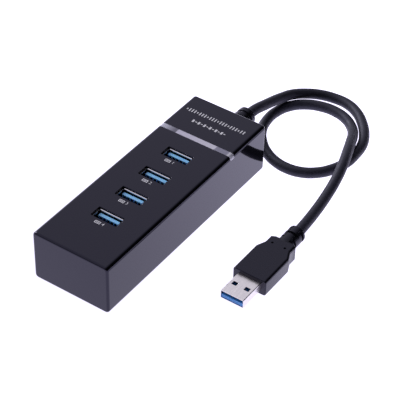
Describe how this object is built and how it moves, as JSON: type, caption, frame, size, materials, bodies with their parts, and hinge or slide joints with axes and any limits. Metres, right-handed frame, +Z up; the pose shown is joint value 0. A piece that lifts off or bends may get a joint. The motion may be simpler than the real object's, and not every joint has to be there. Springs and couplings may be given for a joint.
{
  "type": "usb hub",
  "caption": "Bar-shaped black desktop hub with upright sockets in a row along its top, a clear light bar across it and a short looped captive lead that ends in a plug.",
  "frame": {"origin": "middle of the housing's underside, on the surface the hub stands on", "axes": "+X across the housing, +Y along the housing towards the end where the lead leaves, +Z up out of the sockets"},
  "size_m": [0.0898, 0.1893, 0.0265],
  "materials": {
    "housing_abs": "gloss moulded",
    "base_abs": "fine spark-eroded texture",
    "clear_acrylic": "polished, clear, over a white guide",
    "diffuser": "satin translucent",
    "board": "solder mask over glass fibre",
    "plated_steel": "nickel plated, stamped",
    "plug_steel": "nickel plated, folded",
    "blue_insert": "moulded, satin",
    "contact_gold": "gold flashed",
    "chip_epoxy": "moulded epoxy",
    "tinned_leads": "tinned",
    "lamp": "clear epoxy over a white cup",
    "capacitor_can": "drawn can",
    "ceramic_chip": "fired ceramic",
    "screw_zinc": "zinc plated",
    "wire_insulation": "extruded",
    "relief_pvc": "moulded, satin",
    "jacket_pvc": "extruded, satin",
    "grip_pvc": "moulded, satin"
  },
  "bodies": {
    "root": {"top_cover": "housing_abs", "bottom_cover": "base_abs", "light_bar": "clear_acrylic", "light_guide": "diffuser", "circuit_board": "board", "port_1_shell": "plated_steel", "port_2_shell": "plated_steel", "port_3_shell": "plated_steel", "port_4_shell": "plated_steel", "port_1_insert": "blue_insert", "port_2_insert": "blue_insert", "port_3_insert": "blue_insert", "port_4_insert": "blue_insert", "port_1_contacts": "contact_gold", "port_2_contacts": "contact_gold", "port_3_contacts": "contact_gold", "port_4_contacts": "contact_gold", "hub_controller": "chip_epoxy", "controller_leads": "tinned_leads", "crystal": "plated_steel", "status_leds": "lamp", "voltage_regulator": "chip_epoxy", "bulk_capacitors": "capacitor_can", "chip_resistors": "chip_epoxy", "chip_capacitors": "ceramic_chip", "board_screws": "screw_zinc", "cable_leads": "wire_insulation", "hub_strain_relief": "relief_pvc", "cable_jacket": "jacket_pvc", "plug_grip": "grip_pvc", "plug_shell": "plug_steel", "plug_insert": "blue_insert", "plug_contacts": "contact_gold"}
  },
  "joints": []
}
